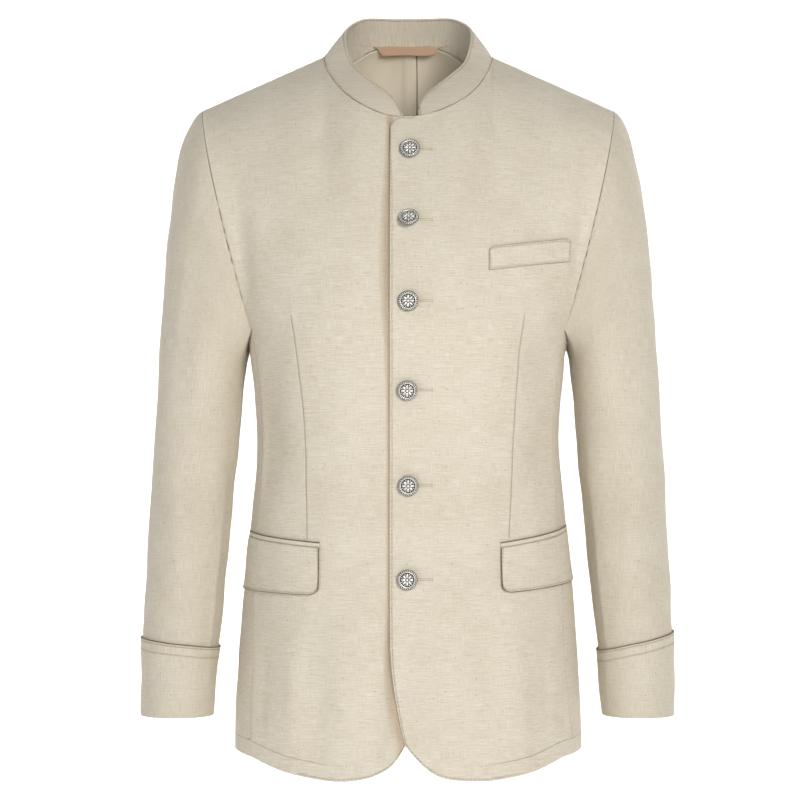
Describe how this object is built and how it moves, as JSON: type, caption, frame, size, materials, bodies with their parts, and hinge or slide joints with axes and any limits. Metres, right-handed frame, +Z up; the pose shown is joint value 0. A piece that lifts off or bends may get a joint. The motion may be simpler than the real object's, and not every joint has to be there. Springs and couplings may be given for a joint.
{
  "type": "linen jacket",
  "caption": "Worn-form linen jacket with stand collar, buttoned front, flap pockets, breast welt and turned cuffs; hollow, open at neck, hem and cuffs.",
  "frame": {"origin": "midway between the two side neck points, where the shoulder seams meet the collar", "axes": "+Z up along the standing jacket, -Y out of its buttoned front, +X towards the wearer's left"},
  "size_m": [0.5691, 0.2867, 0.8064],
  "materials": {
    "linen": "matt slubbed linen in pale natural beige",
    "piping": "matt linen, folded narrow",
    "lining": "soft matt plain weave, a shade darker than the linen",
    "tape": "tan woven tape",
    "button": "antique silver, darkened in its hollows"
  },
  "bodies": {
    "root": {"right_front": "linen", "right_side_panel": "linen", "right_back": "linen", "right_top_sleeve": "linen", "right_under_sleeve": "linen", "right_cuff": "linen", "right_cuff_piping": "piping", "right_neck_facing": "lining", "right_pocket_flap": "linen", "right_pocket_jet": "linen", "left_front": "linen", "left_side_panel": "linen", "left_back": "linen", "left_top_sleeve": "linen", "left_under_sleeve": "linen", "left_cuff": "linen", "left_cuff_piping": "piping", "left_neck_facing": "lining", "left_pocket_flap": "linen", "left_pocket_jet": "linen", "collar": "linen", "breast_welt": "linen", "back_lining": "lining", "hanger_loop": "tape", "button_1": "button", "button_2": "button", "button_3": "button", "button_4": "button", "button_5": "button", "button_6": "button"}
  },
  "joints": []
}
